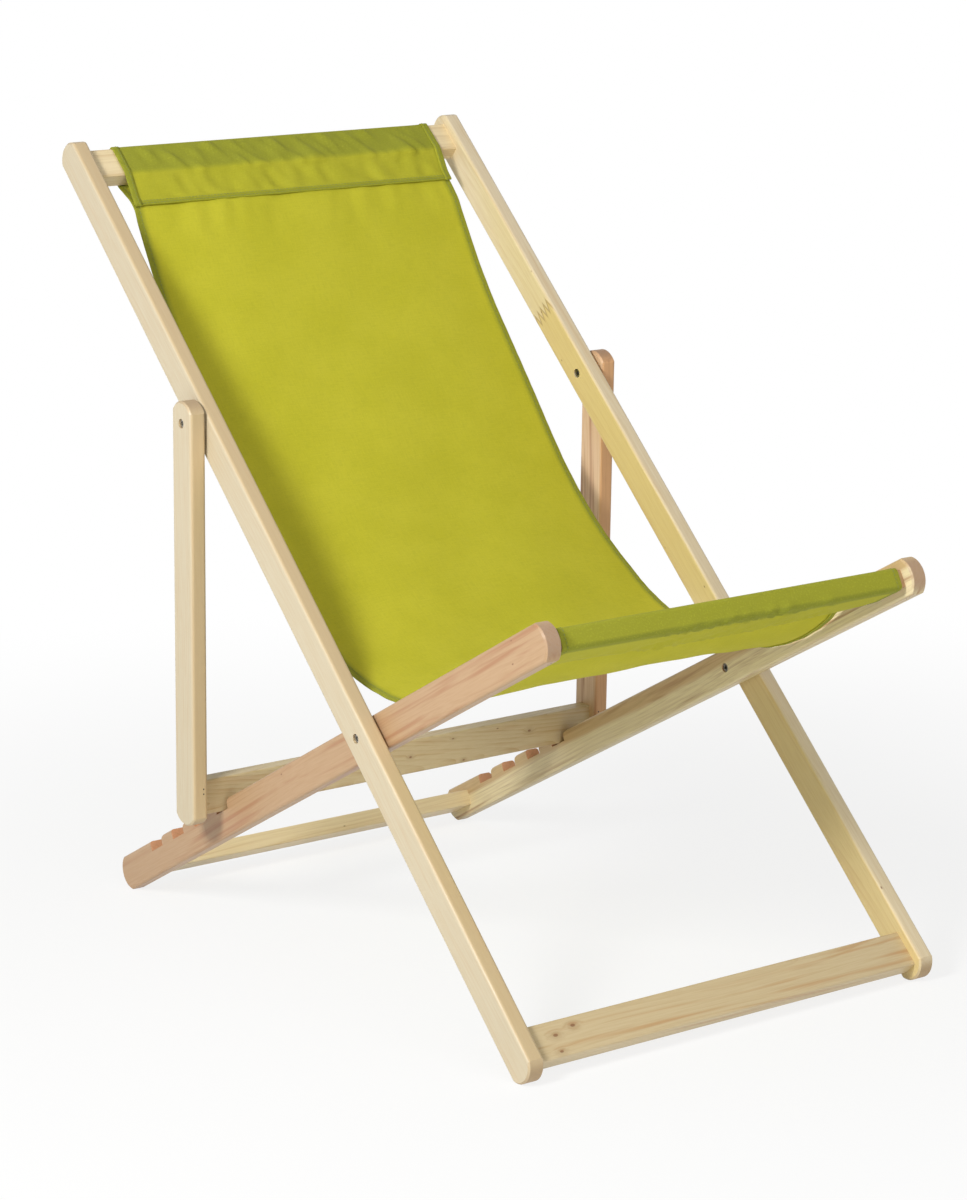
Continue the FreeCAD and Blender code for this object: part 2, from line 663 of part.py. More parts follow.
def make_seat_frame():
    for side, hand in ((-1, "left"), (1, "right")):
        rail = Rail(hand + "_seat_rail", seat_frame, side, seat_outer,
                    size("seat_back_length"), size("seat_front_length"))
        cut_notches(rail)
        rail.mortise(front_rail_at)
        rail.mortise(rear_stretcher_at)
        rail.pin_holes(front_rail_at, from_top=False)
        rail.pin_holes(rear_stretcher_at, from_top=False)
        rail.pivot_bore(as_size(0), True, size("nut_recess") + size("nut_head_height"))
    between = (seat_outer - thickness) * 2
    make_board("front_cross_rail", seat_frame, front_rail_at, between)
    make_board("rear_stretcher", seat_frame, rear_stretcher_at, between)
    make_pins("seat_frame_pins", seat_frame, seat_outer, [front_rail_at, rear_stretcher_at])


def make_prop_frame():
    for side, hand in ((-1, "left"), (1, "right")):
        leg = Rail(hand + "_prop_leg", prop_frame, side, prop_outer,
                   size("prop_bar_distance") + size("prop_toe"), size("prop_top_length"))
        leg.mortise(crossbar_at)
        leg.pin_holes(crossbar_at, from_top=True)
        leg.pivot_bore(as_size(0), False, size("bolt_recess") + size("bolt_head_height"))
    make_board("prop_crossbar", prop_frame, crossbar_at, (prop_outer - thickness) * 2)
    make_pins("prop_frame_pins", prop_frame, prop_outer, [crossbar_at], from_top=True)


make_long_frame()
make_seat_frame()
make_prop_frame()
make_pivot("main_pivot", main_pivot, long_outer)
make_pivot("prop_pivot", prop_pivot, prop_outer)
make_sling()
doc.recompute()

for item in doc.Objects:
    if "Invalid" in item.State or "Error" in item.State:
        raise RuntimeError("%s failed: %s" % (item.Label, item.State))
for node in nodes:
    if node.Shape.isNull() or not node.Shape.isValid():
        raise RuntimeError("%s has no valid shape" % node.Label)

os.makedirs("parts", exist_ok=True)
for node in nodes:
    node.Shape.exportStep("parts/%s.step" % node.Label)
whole = Part.makeCompound([node.Shape for node in nodes]).BoundBox
print("%d nodes, %.1f x %.1f x %.1f mm" % (len(nodes), whole.XLength, whole.YLength, whole.ZLength))
print("long rail %.3f deg, seat rail %.3f deg, prop %.3f deg" % tuple(
    math.degrees(angle) for angle in (long_angle, seat_angle, prop_angle)))
print("main pivot %.3f %.3f, prop pivot %.3f %.3f" % (main_pivot.y, main_pivot.z, prop_pivot.y, prop_pivot.z))
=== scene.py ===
"""Sling deck chair: the finish of its wood and steel, and the canvas sling as real cloth.

Metres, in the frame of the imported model: X runs across the chair, Y from front to back, Z up.
"along" follows a rail's wood, "across" its depth, and sideways is the frame's own X.
"""
import json
import math
import bmesh
import bpy
from mathutils import Matrix, Vector, noise


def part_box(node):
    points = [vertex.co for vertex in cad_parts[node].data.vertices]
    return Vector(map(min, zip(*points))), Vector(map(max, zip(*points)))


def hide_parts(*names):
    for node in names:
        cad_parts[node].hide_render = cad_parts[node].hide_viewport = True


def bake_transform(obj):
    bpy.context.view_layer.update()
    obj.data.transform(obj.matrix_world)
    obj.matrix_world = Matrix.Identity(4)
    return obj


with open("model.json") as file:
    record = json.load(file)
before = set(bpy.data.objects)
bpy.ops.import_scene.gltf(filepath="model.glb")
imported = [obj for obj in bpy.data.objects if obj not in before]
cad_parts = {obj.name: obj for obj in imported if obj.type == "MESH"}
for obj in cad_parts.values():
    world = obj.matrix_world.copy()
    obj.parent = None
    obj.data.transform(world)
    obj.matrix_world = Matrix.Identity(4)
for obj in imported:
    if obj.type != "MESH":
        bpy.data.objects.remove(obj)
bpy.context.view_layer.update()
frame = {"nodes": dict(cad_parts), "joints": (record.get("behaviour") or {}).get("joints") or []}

MM = 0.001
BOARD_WIDTH = 42 * MM
BOARD_THICKNESS = 20 * MM

# The canvas as sewn: its finished width, the hems, and each seam's distance from its board.
SLING_WIDTH = 455 * MM
CANVAS_THICKNESS = 0.8 * MM
HEM_WIDTH = 9 * MM
HEM_DEPTH = 1.0 * MM
LAYER_GAP = 0.9 * MM
TOP_SEAM_DISTANCE = 41 * MM
FRONT_SEAM_DISTANCE = 70 * MM
SEAM_TURN = 7 * MM

# How it hangs. The side line's corners between the boards are shares of the chord and of the sag.
# The middle sags less than the hems, by SLING_CROWN. PULL lifts the whole panel, and PULL_AT_SEAT
# the seat by that much more.
SLING_SAG = 205 * MM
SLING_CROWN = 13 * MM
CROWN_POWER = 2.5
HANGING_LINE = ((0.147, 0.379), (0.489, 0.964), (0.898, 1.086))
PULL = 2 * MM
PULL_AT_SEAT = 4 * MM
PULL_FADE = 0.15

# It hangs a little to the right, most of all at the top. That shift fades out by the seat, over a
# length that starts TOP_SHIFT_LEAD before the panel. The sleeves gather the cloth.
TOP_SHIFT = 8.5 * MM
TOP_SHIFT_LEAD = 1.0
PANEL_SHIFT = 1.5 * MM
GATHER = 0.011
GATHER_FADE = 30 * MM

ROW_SPACING = 5.2 * MM
COLUMN_SPACING = 4.2 * MM

STITCH_LENGTH = 3.4 * MM
STITCH_PITCH = 4.4 * MM
THREAD_WIDTH = 0.7 * MM
THREAD_RISE = THREAD_WIDTH * 0.2
HEM_STITCH_INSET = 6 * MM
SEAM_STITCH_INSETS = (1.8 * MM, 5.6 * MM)


# Places, worked out from the frame.

class Side:
    """A side-view frame on one pair of rails: a point, the direction along the wood and the one
    across it."""

    def __init__(self, origin, towards, turn):
        self.origin = origin
        self.along = (towards - origin).normalized()
        self.across = Vector((0, -self.along.z, self.along.y)) * turn
        self.angle = math.atan2(self.along.z, self.along.y)

    def at(self, sideways, along, across):
        return self.origin + Vector((sideways, 0, 0)) + self.along * along + self.across * across

    def distance(self, node):
        return (box_centre(node) - self.origin).dot(self.along)


def box_centre(node):
    low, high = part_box(node)
    return (low + high) / 2


joints = {joint["name"]: joint for joint in frame["joints"]}
main_pivot = Vector(joints["frame_fold"]["pos_m"])
prop_pivot = Vector(joints["prop_swing"]["pos_m"])
long_side = Side(main_pivot, prop_pivot, 1)
seat_side = Side(main_pivot, box_centre("front_cross_rail"), -1)
prop_side = Side(prop_pivot, prop_pivot * 2 - box_centre("prop_crossbar"), 1)
top_board_at = long_side.distance("top_cross_rail")
front_board_at = seat_side.distance("front_cross_rail")


# Materials.

def linear(colour):
    """An sRGB hex colour as the linear RGBA that a shader takes."""
    channels = [int(colour[i:i + 2], 16) / 255 for i in (1, 3, 5)]
    return [c / 12.92 if c <= 0.04045 else ((c + 0.055) / 1.055) ** 2.4 for c in channels] + [1.0]


def plug(tree, node, inputs):
    """Set a node's inputs, by name or number, to values or to other nodes' outputs."""
    for name, value in inputs.items():
        if isinstance(value, bpy.types.NodeSocket):
            tree.links.new(value, node.inputs[name])
        else:
            node.inputs[name].default_value = value


def add(tree, kind, inputs=None, **settings):
    """Add a node with its settings and inputs."""
    node = tree.nodes.new(kind)
    for name, value in settings.items():
        setattr(node, name, value)
    plug(tree, node, inputs or {})
    return node


def new_material(name):
    material = bpy.data.materials.new(name)
    material.use_nodes = True
    tree = material.node_tree
    tree.nodes.clear()
    output = add(tree, "ShaderNodeOutputMaterial")
    shader = add(tree, "ShaderNodeBsdfPrincipled")
    tree.links.new(shader.outputs[0], output.inputs[0])
    return material, tree, shader


def ramp(tree, factor, low, high, first=0.0, last=1.0):
    """From first to last with a soft start and end, as the factor goes from low to high."""
    return add(tree, "ShaderNodeMapRange", {0: factor, 1: low, 2: high, 3: first, 4: last},
               interpolation_type="SMOOTHSTEP").outputs[0]


def fade(tree, factor, near, far):
    """1 up to near, falling softly to 0 at far."""
    return ramp(tree, factor, near, far, 1.0, 0.0)


def combined(tree, operation, first, second):
    return add(tree, "ShaderNodeMath", {0: first, 1: second}, operation=operation).outputs[0]


def scaled(tree, factor, amount):
    return combined(tree, "MULTIPLY", factor, amount)


def absolute(tree, factor):
    return add(tree, "ShaderNodeMath", {0: factor}, operation="ABSOLUTE").outputs[0]


def vectors(tree, operation, first, second):
    return add(tree, "ShaderNodeVectorMath", {0: first, 1: second}, operation=operation).outputs[0]


def length(tree, vector):
    return add(tree, "ShaderNodeVectorMath", {0: vector}, operation="LENGTH").outputs["Value"]


def vector_from(tree, x=0.0, y=0.0, z=0.0):
    return add(tree, "ShaderNodeCombineXYZ", {0: x, 1: y, 2: z}).outputs[0]


def component(tree, vector, index):
    return add(tree, "ShaderNodeSeparateXYZ", {0: vector}).outputs[index]


def mixed(tree, factor, first, second):
    """Colour from first to second, as factor goes from 0 to 1. Either may be a hex colour."""
    values = [linear(c) if isinstance(c, str) else c for c in (first, second)]
    return add(tree, "ShaderNodeMix", {0: factor, 6: values[0], 7: values[1]},
               data_type="RGBA").outputs[2]


def coordinates(tree, kind="Object"):
    return add(tree, "ShaderNodeTexCoord").outputs[kind]


def cloudy(tree, place, size, detail=2.0, output="Fac"):
    """Noise whose features are that size."""
    return add(tree, "ShaderNodeTexNoise",
               {"Vector": place, "Scale": 1 / size, "Detail": detail}).outputs[output]


def waves(tree, place, spacing, inputs=None, **settings):
    """Bands or rings that far apart. A wave texture's own period is pi / 10."""
    return add(tree, "ShaderNodeTexWave",
               {"Vector": place, "Scale": 2 * math.pi / 20 / spacing, **(inputs or {})},
               **settings).outputs["Fac"]


def uneven_gloss(tree, texture, smooth, rough):
    """Roughness from smooth to rough, as a noise texture goes through most of its range."""
    return add(tree, "ShaderNodeMapRange",
               {0: texture, 1: 0.3, 2: 0.7, 3: smooth, 4: rough}).outputs[0]


def relief(tree, strength, distance, height):
    return add(tree, "ShaderNodeBump",
               {"Strength": strength, "Distance": distance, "Height": height}).outputs[0]


def facing(tree, axis, low, high):
    """1 where the surface lies square to an axis, either way, and 0 where it doesn't."""
    towards = add(tree, "ShaderNodeVectorMath", {0: coordinates(tree, "Normal"), 1: axis},
                  operation="DOT_PRODUCT").outputs["Value"]
    return ramp(tree, absolute(tree, towards), low, high)


# The figure of the pine.
RING_SPACING = 4.2 * MM
RING_SHARPNESS = 2.5
FIBRE_WIDTH = 1.3 * MM
STREAK_WIDTH = 8 * MM
WANDER_SIZE = 60 * MM
WANDER = 26 * MM
SPECK_SPACING = 22 * MM
SPECK_SIZE = 1.3 * MM
SPECK_CHANCE = 0.5
KNOT_HALO = 4
KNOT_SWELL = 2.2
KNOT_TONE = "#7A4A26"
TOOTH_SPACING = 8 * MM
TOOTH_LENGTH = 16 * MM
JOINT_BLUR = 3 * MM
GLUE_TONE = "#8A6436"
HEARTWOOD_BLUR = 4 * MM


def wood_coordinates(tree, side, board):
    """Object coordinates turned so that Y follows the grain and X goes through the broad face."""
    turn = Matrix.Rotation(-side.angle, 3, "X")
    local = add(tree, "ShaderNodeMapping",
                {"Vector": coordinates(tree), "Location": -(turn @ side.origin),
                 "Rotation": (-side.angle, 0, 0)}).outputs[0]
    if not board:
        return local
    parts = add(tree, "ShaderNodeSeparateXYZ", {0: local}).outputs
    return vector_from(tree, parts[2], parts[0], parts[1])


def drawn_out(tree, place, move, squeeze):
    """Coordinates moved by a vector, then squeezed along the grain, which draws a texture out."""
    return add(tree, "ShaderNodeMapping",
               {"Vector": place, "Location": move, "Scale": (1, squeeze, 1)}).outputs[0]


def pin_knots(tree, grain, offset, specks):
    """Shade of the pin knots, one every few centimetres, some of them left out."""
    spots = add(tree, "ShaderNodeTexVoronoi", {"Vector": drawn_out(tree, grain, offset * 5, 0.5),
                                               "Scale": 1 / SPECK_SPACING}).outputs
    chance = add(tree, "ShaderNodeSeparateColor", {0: spots["Color"]}).outputs[0]
    chosen = combined(tree, "LESS_THAN", chance, specks * SPECK_CHANCE)
    near = fade(tree, spots["Distance"], SPECK_SIZE * 0.3 / SPECK_SPACING,
                SPECK_SIZE / SPECK_SPACING)
    return combined(tree, "MULTIPLY", chosen, near)


def placed_knot(tree, grain, place, size):
    """How far a knot pushes the rings aside, and its shade."""
    away = vectors(tree, "MULTIPLY", vectors(tree, "SUBTRACT", grain, place), (1, 0.6, 1))
    away = length(tree, away)
    halo = fade(tree, away, 0.0, size * KNOT_HALO)
    swell = vector_from(tree, scaled(tree, halo, size * KNOT_SWELL))
    shade = combined(tree, "MAXIMUM", scaled(tree, halo, 0.3), fade(tree, away, size * 0.5, size))
    return swell, shade


def with_finger_joint(tree, colour, grain, on_broad, place, second_tone):
    """The colour with another tone beyond a toothed glue line, on the broad faces only."""
    teeth = waves(tree, grain, TOOTH_SPACING,
                  wave_type="BANDS", bands_direction="Z", wave_profile="TRI")
    edge = combined(tree, "ADD", component(tree, grain, 1), scaled(tree, teeth, TOOTH_LENGTH))
    second = combined(tree, "MULTIPLY", ramp(tree, edge, place, place + JOINT_BLUR), on_broad)
    colour = mixed(tree, second, colour, second_tone)
    off_joint = absolute(tree, combined(tree, "SUBTRACT", edge, place + JOINT_BLUR / 2))
    glue = scaled(tree, fade(tree, off_joint, 1 * MM, 6 * MM), 0.6)
    return mixed(tree, combined(tree, "MULTIPLY", glue, on_broad), colour, GLUE_TONE)


def pine(name, side, heart, tones, board=False, knots=(), rings=0.45, streaks=0.3, specks=0.6,
         cut_ends=None, tilt=0.03, heartwood=None, finger_joint=None):
    """Planed softwood under thin satin varnish: soft growth rings that run out along the rail,
    fine fibres, a few warmer streaks, pin knots, and darker, duller end grain. heart is the tree's
    middle, off the rail, and tilt is how fast the rings run out. tones are the hex colours of the
    broad faces, the narrow faces, late wood, streaks and end grain. knots are (place, size).
    cut_ends is the rawer end grain inside the notches, behind the pivot. heartwood is (tone,
    height), the browner wood above that height. finger_joint is (place, tone), where two lengths
    are glued together along the rail, and the tone of the second."""
    broad, narrow, late, streak, end = tones
    material, tree, shader = new_material("pine_" + name)
    grain = wood_coordinates(tree, side, board)
    offset = Vector((heart[0], 0, heart[1]))
    wander = cloudy(tree, drawn_out(tree, grain, offset * 7, 0.12), WANDER_SIZE, output="Color")
    wander = vectors(tree, "SUBTRACT", wander, (0.5, 0.5, 0.5))
    wander = add(tree, "ShaderNodeVectorMath", {0: wander, 3: WANDER}, operation="SCALE").outputs[0]
    run_out = component(tree, grain, 1)
    lean = vector_from(tree, scaled(tree, run_out, tilt), 0.0, scaled(tree, run_out, tilt * 0.4))
    bent = grain
    for bend in (wander, lean, offset):
        bent = vectors(tree, "ADD", bent, bend)
    knot_shade = pin_knots(tree, grain, offset, specks)
    for place, size in knots:
        swell, shade = placed_knot(tree, grain, place, size)
        bent = vectors(tree, "ADD", bent, swell)
        knot_shade = combined(tree, "MAXIMUM", knot_shade, shade)

    ring = waves(tree, bent, RING_SPACING,
                 wave_type="RINGS", rings_direction="Y", wave_profile="SAW")
    ring = combined(tree, "POWER", ring, RING_SHARPNESS)
    fibre = cloudy(tree, drawn_out(tree, bent, offset, 0.025), FIBRE_WIDTH, 3.0)
    band = cloudy(tree, drawn_out(tree, bent, offset * 3, 0.022), STREAK_WIDTH)
    late_share = combined(
        tree, "ADD",
        combined(tree, "MULTIPLY", scaled(tree, ring, rings), ramp(tree, band, 0.25, 0.7)),
        scaled(tree, ramp(tree, fibre, 0.35, 0.75), 0.25))

    if board:
        broad_axis, grain_axis = tuple(side.across), (1, 0, 0)
    else:
        broad_axis, grain_axis = (1, 0, 0), tuple(side.along)
    on_broad = facing(tree, broad_axis, 0.5, 0.95)
    colour = mixed(tree, on_broad, narrow, broad)
    if heartwood:
        tone, edge = heartwood
        height = component(tree, vectors(tree, "ADD", grain, wander), 2)
        height = scaled(tree, height, math.copysign(1, side.along.y))
        above = ramp(tree, height, edge - HEARTWOOD_BLUR, edge + HEARTWOOD_BLUR)
        colour = mixed(tree, above, colour, tone)
    if finger_joint:
        colour = with_finger_joint(tree, colour, grain, on_broad, *finger_joint)
    colour = mixed(tree, late_share, colour, late)
    colour = mixed(tree, scaled(tree, ramp(tree, band, 0.5, 0.72), streaks), colour, streak)
    colour = mixed(tree, scaled(tree, knot_shade, 0.8), colour, KNOT_TONE)
    if cut_ends:
        end = mixed(tree, ramp(tree, run_out, -0.1, 0.1), cut_ends, end)
    end_share = facing(tree, grain_axis, 0.45, 0.95)
    colour = mixed(tree, end_share, colour, mixed(tree, late_share, end, late))

    rough = uneven_gloss(tree, fibre, 0.42, 0.58)
    height = combined(tree, "ADD", fibre, scaled(tree, ring, 0.4))
    plug(tree, shader, {
        "Base Color": colour,
        "Roughness": combined(tree, "ADD", rough, scaled(tree, end_share, 0.25)),
        "Normal": relief(tree, 0.3, 0.1 * MM, height),
        "IOR": 1.5,
        "Coat Weight": 0.2,
        "Coat Roughness": 0.3})
    return material


# The canvas's yarns and its hex colours: one layer of cloth, its painted shade where something
# behind it keeps light from coming through, thicker and paler yarns, and the raised ones' painted
# highlight.
WEAVE_PITCH = 1.5 * MM
SLUB_SIZE = 1.6 * MM
SPECKLE_SIZE = 2.2 * MM
MOTTLE_SIZE = 70 * MM
LIME = ("#BBB620", "#C2BC29")
# Painted shade of the cloth, where less light comes through it.
LIME_PAINTED_SHADE = "#858A20"
LIME_SLUB = "#949612"
LIME_SPECKLE = "#D4D03C"
# Painted highlight of the raised yarns.
LIME_PAINTED_HIGHLIGHT = "#D2CE38"


def canvas():
    """Plain-weave cotton and polyester canvas, piece-dyed lime: matt, with uneven yarns. One layer
    with light behind it is yellower. Where wood, a hem or a seam backs it, painted shade makes it
    greener and deeper, and a painted shadow darkens the band under the front roll. The raised yarns
    get a painted highlight. Real yarns are too fine to show, so the weave is drawn wider."""
    material, tree, shader = new_material("lime_canvas")
    flat = add(tree, "ShaderNodeUVMap", uv_map="cut").outputs[0]
    yarns = [waves(tree, flat, WEAVE_PITCH, {"Distortion": 0.6, "Detail": 1.0, "Detail Scale": 2.0},
                   wave_type="BANDS", bands_direction=direction, wave_profile="SIN")
             for direction in ("X", "Y")]
    weave = combined(tree, "MULTIPLY", *yarns)
    slubs = []
    for squeeze in ((1, 0.1, 1), (0.1, 1, 1)):
        along_yarn = add(tree, "ShaderNodeMapping", {"Vector": flat, "Scale": squeeze}).outputs[0]
        slubs.append(cloudy(tree, along_yarn, SLUB_SIZE))
    slub = combined(tree, "MULTIPLY", *slubs)
    speckle = cloudy(tree, flat, SPECKLE_SIZE)
    mottle = cloudy(tree, flat, MOTTLE_SIZE, 3.0)
    # Painted shade: greener and deeper where something behind the cloth keeps light from coming
    # through, and darker under the front roll.
    painted_shade = add(tree, "ShaderNodeAttribute", attribute_name="painted_shade").outputs["Fac"]
    colour = mixed(tree, ramp(tree, mottle, 0.3, 0.7), *LIME)
    colour = mixed(tree, painted_shade, colour, LIME_PAINTED_SHADE)
    colour = mixed(tree, scaled(tree, ramp(tree, slub, 0.16, 0.42), 0.2), colour, LIME_SLUB)
    colour = mixed(tree, scaled(tree, ramp(tree, speckle, 0.5, 0.75), 0.2), colour, LIME_SPECKLE)
    # A painted highlight on the raised yarns of the weave.
    colour = mixed(tree, scaled(tree, weave, 0.12), colour, LIME_PAINTED_HIGHLIGHT)
    plug(tree, shader, {
        "Base Color": colour,
        "Roughness": 0.85,
        "Normal": relief(tree, 0.4, 0.25 * MM, combined(tree, "ADD", weave, slub)),
        "Subsurface Weight": 0.4,
        "Subsurface Radius": (1.0, 1.0, 0.35),
        "Subsurface Scale": 3 * MM,
        "Sheen Weight": 0.06,
        "Sheen Roughness": 0.5,
        "Sheen Tint": linear("#D8D860")})
    return material


def clouded(name, size, tones, rough):
    """A plain material in two tones, clouded over that size."""
    material, tree, shader = new_material(name)
    tone = mixed(tree, cloudy(tree, coordinates(tree), size), *tones)
    plug(tree, shader, {"Base Color": tone, "Roughness": rough})
    return material


def steel(name, dark, light, rough):
    """Steel with a plated or oxide finish, which mottles it softly."""
    material, tree, shader = new_material(name)
    spangle = cloudy(tree, coordinates(tree), 1.6 * MM, 3.0)
    plug(tree, shader, {
        "Base Color": mixed(tree, ramp(tree, spangle, 0.35, 0.65), dark, light),
        "Metallic": 1.0,
        "Roughness": uneven_gloss(tree, spangle, rough, rough + 0.2),
        "Normal": relief(tree, 0.2, 0.03 * MM, spangle)})
    return material


def dress(node, material):
    """Give a CAD node its material."""
    mesh = frame["nodes"][node].data
    mesh.materials.clear()
    mesh.materials.append(material)


def dress_in_pine(node, side, heart, tones, **figure):
    dress(node, pine(node, side, heart, tones, **figure))


# Hex colours of broad faces, narrow faces, late wood, streaks and end grain.
CREAM = ("#D0C3A6", "#CAB38A", "#C2A67C", "#C9AC82", "#B39A78")
YELLOW = ("#DFC98F", "#E3D2B0", "#C6A86E", "#CDAA72", "#B39A78")
PALE_YELLOW = ("#EEDAAE", "#EBD8AE", "#CBAE78", "#D0AE78", "#B39A78")
PINKISH = ("#BE9C77", "#BE9C74", "#AB855E", "#A87450", "#AD9076")
OLIVE_TAN = ("#F2E3B8", "#E4D4A8", "#B09060", "#A8784E", "#B5967A")
ORANGE = ("#DFBF98", "#DCAA78", "#BE8C5E", "#9A5C38", "#A98666")
SILLS = ("#CEBA92", "#D6C49E", "#B79A6C", "#BE9768", "#A98C6A")
SALMON = "#DCA27C"

# Knots that the photo shows, as a place in the wood's coordinates and a size.
FOOT_KNOTS = (((0.010, -0.222, -0.390), 2.5 * MM), ((0.010, -0.197, -0.384), 2.5 * MM),
              ((0.010, -0.224, -0.409), 2.0 * MM))
CROSSBAR_KNOTS = (((0.010, 0.010, -0.445), 1.6 * MM), ((0.010, 0.072, -0.432), 1.2 * MM),
                  ((0.010, 0.186, -0.441), 2.0 * MM), ((0.010, 0.088, -0.462), 1.4 * MM))


def dress_frame():
    dress_in_pine("left_long_rail", long_side, (0.31, 0.05), CREAM, rings=0.28, streaks=0.2)
    dress_in_pine("right_long_rail", long_side, (-0.20, 0.04), YELLOW, rings=0.3, streaks=0.25,
                  finger_joint=(0.54, "#E6D5AE"))
    dress_in_pine("left_seat_rail", seat_side, (0.29, -0.06), PINKISH, streaks=0.7, specks=1.0,
                  cut_ends=SALMON)
    dress_in_pine("right_seat_rail", seat_side, (-0.18, 0.05), OLIVE_TAN, streaks=0.7, specks=1.0,
                  cut_ends=SALMON, heartwood=("#D2B482", 5 * MM))
    dress_in_pine("left_prop_leg", prop_side, (0.34, 0.06), CREAM, rings=0.28, streaks=0.2)
    dress_in_pine("right_prop_leg", prop_side, (-0.22, 0.05), ORANGE, streaks=0.8)
    dress_in_pine("top_cross_rail", long_side, (0.03, -0.80), PALE_YELLOW, board=True)
    dress_in_pine("foot_stretcher", long_side, (0.03, 0.36), SILLS, board=True, streaks=0.9,
                  knots=FOOT_KNOTS)
    dress_in_pine("front_cross_rail", seat_side, (0.04, -0.30), PINKISH, board=True)
    dress_in_pine("rear_stretcher", seat_side, (0.04, 0.65), PALE_YELLOW, board=True)
    dress_in_pine("prop_crossbar", prop_side, (0.03, 0.47), SILLS, board=True, rings=0.8,
                  specks=1.0, tilt=0.09, knots=CROSSBAR_KNOTS)
    finishes = {
        "bolt": steel("zinc_plated_steel", "#8F8E8A", "#C4C3BE", 0.25),
        "nut": steel("worn_zinc_steel", "#5E5C57", "#9A988F", 0.3),
        "pins": steel("black_oxide_steel", "#2E2D2C", "#55534F", 0.35),
        "washer": clouded("nylon", 2 * MM, ("#D9D6CB", "#E6E4DC"), 0.4),
    }
    for node in frame["nodes"]:
        kind = node.rsplit("_", 1)[-1]
        if kind in finishes:
            dress(node, finishes[kind])


# The canvas: a side-view line swept across the chair, with folded hems and wrinkles pressed in.

def smooth_step(value, low, high):
    share = min(1, max(0, (value - low) / (high - low)))
    return share * share * (3 - 2 * share)


def window(value, low, high, soft):
    """1 between low and high, falling smoothly to 0 over soft on either side."""
    return smooth_step(value, low - soft, low) * (1 - smooth_step(value, high, high + soft))


def sling_corners(sag, slack):
    """Corners of the sling's side view as (name, point, radius): from its turned-in edge at the
    top seam, up the board's face, over it and down behind, along the hanging panel, round the
    front board, and back to the front seam's turned-in edge. slack is how far the front sleeve
    hangs below its board. A seam's layers lie a gap apart, and the folds between them are nearly
    half-round."""
    gap, fold = LAYER_GAP, LAYER_GAP * 0.499
    half = BOARD_WIDTH / 2
    lift = BOARD_THICKNESS / 2 + CANVAS_THICKNESS / 2 + 0.8 * MM
    room = lift + 1 * MM
    top, front = top_board_at, front_board_at
    long_at, seat_at = long_side.at, seat_side.at
    over_top = top + half + 1 * MM
    over_front = front + half + 2.8 * MM
    top_seam = top - half - TOP_SEAM_DISTANCE
    front_seam = front - half - FRONT_SEAM_DISTANCE
    start = long_at(0, top_seam + SEAM_TURN / 2, 1.2 * MM)
    end = seat_at(0, front_seam + SEAM_TURN / 2, 0)
    chord = end - start
    down = Vector((0, -chord.z, chord.y)).normalized()
    hanging = [(start + chord * along + down * (sag * share)) for along, share in HANGING_LINE]
    return [
        ("top_turned_edge", long_at(0, top_seam + SEAM_TURN, gap), 0),
        ("top_seam_inside", long_at(0, top_seam, gap), fold),
        ("top_seam_fold", long_at(0, top_seam, gap * 2), fold),
        ("flap_hollow", long_at(0, top_seam + 11 * MM, gap * 2 + 0.4 * MM), 30 * MM),
        ("flap_bend", long_at(0, top - half + 3 * MM, room), 30 * MM),
        ("board_top_front", long_at(0, over_top, lift), 2.6 * MM),
        ("board_top_back", long_at(0, over_top, -lift), 2.6 * MM),
        ("board_foot_back", long_at(0, top - half, -lift), 10 * MM),
        ("panel_top", start, 40 * MM),
        ("upper_panel", hanging[0], 680 * MM),
        ("belly", hanging[1], 630 * MM),
        ("seat", hanging[2], 300 * MM),
        ("panel_end", end, 40 * MM),
        ("front_board_back", seat_at(0, front - half + 1 * MM, room), 8 * MM),
        ("roll_top", seat_at(0, over_front, room), 5 * MM),
        ("roll_foot", seat_at(0, over_front, -room), 5 * MM),
        ("sleeve_slack", seat_at(0, front - half, -lift - slack), 14 * MM),
        ("front_seam_fold", seat_at(0, front_seam, -gap * 2), fold),
        ("front_seam_inside", seat_at(0, front_seam, -gap), fold),
        ("front_turned_edge", seat_at(0, front_seam + SEAM_TURN, -gap), 0),
    ]


def side_path(corners, counts=None):
    """Points along straight runs and tangent arcs, the steps of each run and arc, and the row at
    the middle of each arc. A path made with another's counts matches it row by row."""
    path, taken, marks = [corners[0][1]], [], {corners[0][0]: 0}
    for index in range(1, len(corners)):
        name, point, radius = corners[index]
        arc_start, sweep = point, 0.0
        if radius:
            back = (corners[index - 1][1] - point).normalized()
            ahead = (corners[index + 1][1] - point).normalized()
            half = back.angle(ahead) / 2
            arc_start = point + back * (radius / math.tan(half))
            centre = point + (back + ahead).normalized() * (radius / math.sin(half))
            axis = back.cross(ahead).normalized()
            sweep = math.pi - 2 * half
        run = (arc_start - path[-1]).length
        if counts:
            run_steps, arc_steps = counts[index - 1]
        else:
            run_steps = math.ceil(run / ROW_SPACING) if run > 0.05 * MM else 0
            arc_steps = max(4, math.ceil(radius * sweep / ROW_SPACING)) if radius else 0
        taken.append((run_steps, arc_steps))
        begin = path[-1]
        path += [begin.lerp(arc_start, step / run_steps) for step in range(1, run_steps + 1)]
        for step in range(1, arc_steps + 1):
            turn = Matrix.Rotation(-sweep * step / arc_steps, 3, axis)
            path.append(centre + turn @ (arc_start - centre))
        marks[name] = len(path) - 1 - arc_steps // 2
    return path, taken, marks


def lengths_along(path):
    total = [0.0]
    for first, second in zip(path, path[1:]):
        total.append(total[-1] + (second - first).length)
    return total


